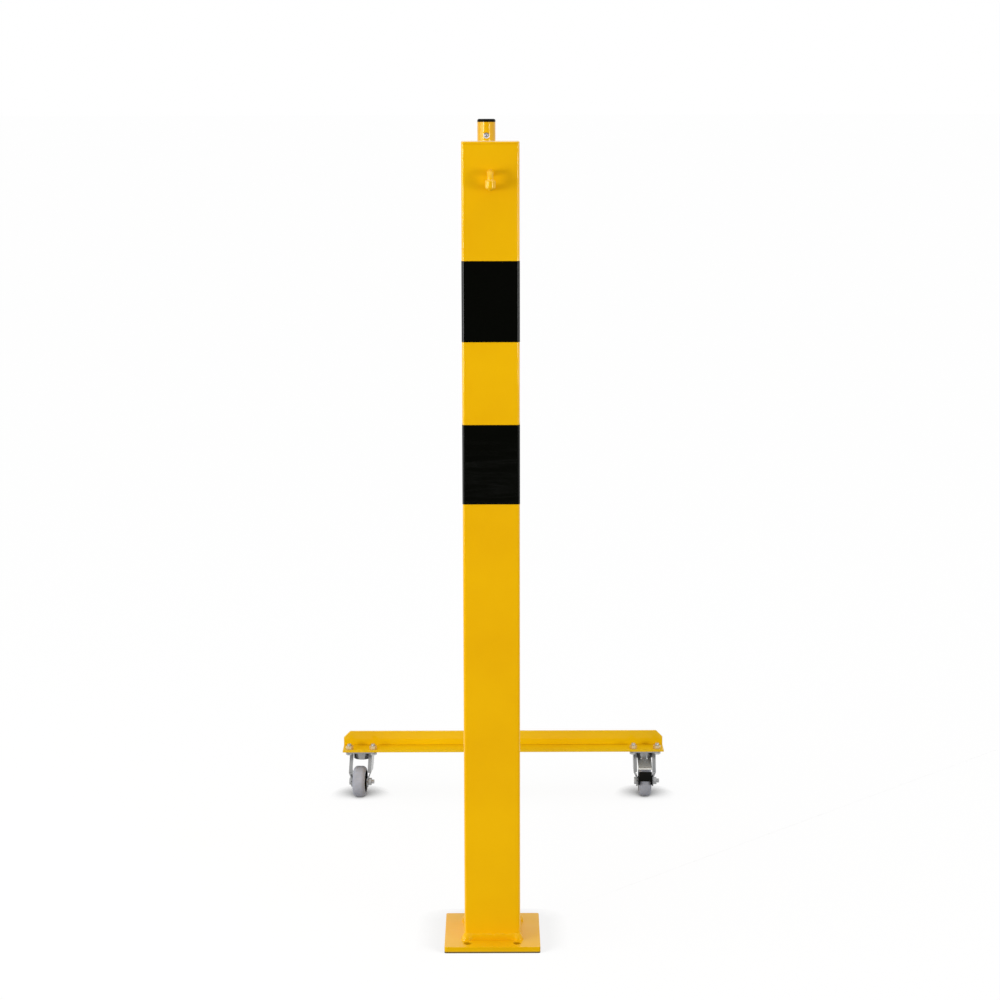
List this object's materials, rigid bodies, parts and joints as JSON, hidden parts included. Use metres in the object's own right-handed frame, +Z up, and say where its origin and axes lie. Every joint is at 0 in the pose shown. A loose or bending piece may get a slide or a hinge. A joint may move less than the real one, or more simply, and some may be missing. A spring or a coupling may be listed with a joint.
{
  "type": "expanding lattice barrier",
  "caption": "Bolt-down square post with a padlock loop, carrying a folded scissor lattice whose far end rides on a T-shaped foot with two swivel castors.",
  "frame": {"origin": "centre of the base plate's underside, on the floor", "axes": "+X across the post, +Y the way the barrier opens, +Z up"},
  "size_m": [0.49, 0.7084, 1.0268],
  "materials": {
    "yellow_paint": "glossy yellow powder coat on steel",
    "black_film": "glossy black self-adhesive film",
    "black_cap": "satin black moulded cap",
    "black_plastic": "black moulded plastic",
    "grey_rubber": "matte grey rubber tread",
    "zinc_plate": "bright zinc-plated pressed steel",
    "zinc_fastener": "bright zinc-plated fasteners",
    "zinc_rivets": "bright zinc-plated rivets"
  },
  "bodies": {
    "fixed_post": {"base_plate": "yellow_paint", "foot_weld": "yellow_paint", "post_tube": "yellow_paint", "post_lid": "yellow_paint", "black_bands": "black_film", "lock_loop": "yellow_paint", "guide_brackets": "yellow_paint", "guide_tube": "yellow_paint", "guide_cap": "black_cap", "lower_collar": "yellow_paint"},
    "link_a1": {"bar_a1": "yellow_paint", "rivets_1": "zinc_rivets"},
    "link_b1": {"bar_b1": "yellow_paint"},
    "link_a2": {"bar_a2": "yellow_paint", "rivets_2": "zinc_rivets"},
    "link_b2": {"bar_b2": "yellow_paint"},
    "link_a3": {"bar_a3": "yellow_paint", "rivets_3": "zinc_rivets"},
    "link_b3": {"bar_b3": "yellow_paint"},
    "link_a4": {"bar_a4": "yellow_paint", "rivets_4": "zinc_rivets"},
    "link_b4": {"bar_b4": "yellow_paint"},
    "link_a5": {"bar_a5": "yellow_paint", "rivets_5": "zinc_rivets"},
    "link_b5": {"bar_b5": "yellow_paint"},
    "link_a6": {"bar_a6": "yellow_paint", "rivets_6": "zinc_rivets"},
    "link_b6": {"bar_b6": "yellow_paint"},
    "link_a7": {"bar_a7": "yellow_paint", "rivets_7": "zinc_rivets"},
    "link_b7": {"bar_b7": "yellow_paint"},
    "link_a8": {"bar_a8": "yellow_paint", "rivets_8": "zinc_rivets"},
    "link_b8": {"bar_b8": "yellow_paint"},
    "front_slider": {"front_slider": "yellow_paint"},
    "rear_slider": {"rear_slider": "yellow_paint"},
    "end_frame": {"end_tube": "yellow_paint", "end_cap": "black_cap", "stop_pin": "zinc_fastener", "end_collar": "yellow_paint", "foot_flange": "yellow_paint", "foot_web": "yellow_paint", "castor_bolts": "zinc_fastener", "castor_nuts": "zinc_fastener", "castor_plates": "zinc_plate", "ball_races": "zinc_plate", "kingpins": "zinc_plate"},
    "left_swivel": {"left_fork": "zinc_plate", "left_axle_bolt": "zinc_fastener", "left_axle_nut": "zinc_fastener"},
    "right_swivel": {"right_fork": "zinc_plate", "right_axle_bolt": "zinc_fastener", "right_axle_nut": "zinc_fastener", "brake_leaf": "zinc_plate"},
    "left_wheel": {"left_wheel_core": "black_plastic", "left_tyre": "grey_rubber"},
    "right_wheel": {"right_wheel_core": "black_plastic", "right_tyre": "grey_rubber"},
    "pedal": {"brake_pedal": "black_plastic"}
  },
  "joints": [
    {"name": "barrier_fold", "type": "hinge", "parent": "fixed_post", "child": "link_a1", "pos_m": [0.016, 0.065, 0.135], "axis": [-1, 0, 0], "range_deg": [-2.4, 24]},
    {"name": "top_pivot_1", "type": "hinge", "parent": "link_a1", "child": "link_b2", "pos_m": [0.016, 0.1334, 0.96218], "axis": [-1, 0, 0], "range_deg": [-48, 4.8]},
    {"name": "bottom_pivot_2", "type": "hinge", "parent": "link_b2", "child": "link_a3", "pos_m": [0.016, 0.2018, 0.135], "axis": [-1, 0, 0], "range_deg": [-4.8, 48]},
    {"name": "top_pivot_3", "type": "hinge", "parent": "link_a3", "child": "link_b4", "pos_m": [0.016, 0.2702, 0.96218], "axis": [-1, 0, 0], "range_deg": [-48, 4.8]},
    {"name": "bottom_pivot_4", "type": "hinge", "parent": "link_b4", "child": "link_a5", "pos_m": [0.016, 0.3386, 0.135], "axis": [-1, 0, 0], "range_deg": [-4.8, 48]},
    {"name": "top_pivot_5", "type": "hinge", "parent": "link_a5", "child": "link_b6", "pos_m": [0.016, 0.407, 0.96218], "axis": [-1, 0, 0], "range_deg": [-48, 4.8]},
    {"name": "bottom_pivot_6", "type": "hinge", "parent": "link_b6", "child": "link_a7", "pos_m": [0.016, 0.4754, 0.135], "axis": [-1, 0, 0], "range_deg": [-4.8, 48]},
    {"name": "top_pivot_7", "type": "hinge", "parent": "link_a7", "child": "link_b8", "pos_m": [0.016, 0.5438, 0.96218], "axis": [-1, 0, 0], "range_deg": [-48, 4.8]},
    {"name": "middle_pivot_1", "type": "hinge", "parent": "link_a1", "child": "link_b1", "pos_m": [0.016, 0.0992, 0.54859], "axis": [-1, 0, 0], "range_deg": [-48, 4.8]},
    {"name": "middle_pivot_2", "type": "hinge", "parent": "link_b2", "child": "link_a2", "pos_m": [0.016, 0.1676, 0.54859], "axis": [-1, 0, 0], "range_deg": [-4.8, 48]},
    {"name": "middle_pivot_3", "type": "hinge", "parent": "link_a3", "child": "link_b3", "pos_m": [0.016, 0.236, 0.54859], "axis": [-1, 0, 0], "range_deg": [-48, 4.8]},
    {"name": "middle_pivot_4", "type": "hinge", "parent": "link_b4", "child": "link_a4", "pos_m": [0.016, 0.3044, 0.54859], "axis": [-1, 0, 0], "range_deg": [-4.8, 48]},
    {"name": "middle_pivot_5", "type": "hinge", "parent": "link_a5", "child": "link_b5", "pos_m": [0.016, 0.3728, 0.54859], "axis": [-1, 0, 0], "range_deg": [-48, 4.8]},
    {"name": "middle_pivot_6", "type": "hinge", "parent": "link_b6", "child": "link_a6", "pos_m": [0.016, 0.4412, 0.54859], "axis": [-1, 0, 0], "range_deg": [-4.8, 48]},
    {"name": "middle_pivot_7", "type": "hinge", "parent": "link_a7", "child": "link_b7", "pos_m": [0.016, 0.5096, 0.54859], "axis": [-1, 0, 0], "range_deg": [-48, 4.8]},
    {"name": "middle_pivot_8", "type": "hinge", "parent": "link_b8", "child": "link_a8", "pos_m": [0.016, 0.578, 0.54859], "axis": [-1, 0, 0], "range_deg": [-4.8, 48]},
    {"name": "end_collar_pivot", "type": "hinge", "parent": "link_b8", "child": "end_frame", "pos_m": [0.016, 0.6122, 0.135], "axis": [-1, 0, 0], "range_deg": [-2.4, 24]},
    {"name": "front_slider_pivot", "type": "hinge", "parent": "link_b1", "child": "front_slider", "pos_m": [0.016, 0.065, 0.96218], "axis": [-1, 0, 0], "range_deg": [-2.4, 24]},
    {"name": "rear_slider_pivot", "type": "hinge", "parent": "link_a8", "child": "rear_slider", "pos_m": [0.016, 0.6122, 0.96218], "axis": [-1, 0, 0], "range_deg": [-24, 2.4]},
    {"name": "left_castor_swivel", "type": "hinge", "parent": "end_frame", "child": "left_swivel", "pos_m": [-0.201, 0.6122, 0.06], "axis": [0, 0, 1], "continuous": true},
    {"name": "left_wheel_spin", "type": "hinge", "parent": "left_swivel", "child": "left_wheel", "pos_m": [-0.20327, 0.5863, 0.0235], "axis": [0.9962, -0.0872, 0], "continuous": true},
    {"name": "right_castor_swivel", "type": "hinge", "parent": "end_frame", "child": "right_swivel", "pos_m": [0.233, 0.6122, 0.06], "axis": [0, 0, 1], "continuous": true},
    {"name": "right_wheel_spin", "type": "hinge", "parent": "right_swivel", "child": "right_wheel", "pos_m": [0.23255, 0.5862, 0.0235], "axis": [0.9998, -0.0175, 0], "continuous": true},
    {"name": "brake_press", "type": "hinge", "parent": "right_swivel", "child": "pedal", "pos_m": [0.23255, 0.5862, 0.0235], "axis": [0.9998, -0.0175, 0], "range_deg": [0, 12]}
  ],
  "couplings": [
    {"joint": "top_pivot_1", "follows": "barrier_fold", "ratio": -2},
    {"joint": "bottom_pivot_2", "follows": "barrier_fold", "ratio": 2},
    {"joint": "top_pivot_3", "follows": "barrier_fold", "ratio": -2},
    {"joint": "bottom_pivot_4", "follows": "barrier_fold", "ratio": 2},
    {"joint": "top_pivot_5", "follows": "barrier_fold", "ratio": -2},
    {"joint": "bottom_pivot_6", "follows": "barrier_fold", "ratio": 2},
    {"joint": "top_pivot_7", "follows": "barrier_fold", "ratio": -2},
    {"joint": "middle_pivot_1", "follows": "barrier_fold", "ratio": -2},
    {"joint": "middle_pivot_2", "follows": "barrier_fold", "ratio": 2},
    {"joint": "middle_pivot_3", "follows": "barrier_fold", "ratio": -2},
    {"joint": "middle_pivot_4", "follows": "barrier_fold", "ratio": 2},
    {"joint": "middle_pivot_5", "follows": "barrier_fold", "ratio": -2},
    {"joint": "middle_pivot_6", "follows": "barrier_fold", "ratio": 2},
    {"joint": "middle_pivot_7", "follows": "barrier_fold", "ratio": -2},
    {"joint": "middle_pivot_8", "follows": "barrier_fold", "ratio": 2},
    {"joint": "end_collar_pivot", "follows": "barrier_fold", "ratio": 1},
    {"joint": "front_slider_pivot", "follows": "barrier_fold", "ratio": 1},
    {"joint": "rear_slider_pivot", "follows": "barrier_fold", "ratio": -1}
  ]
}
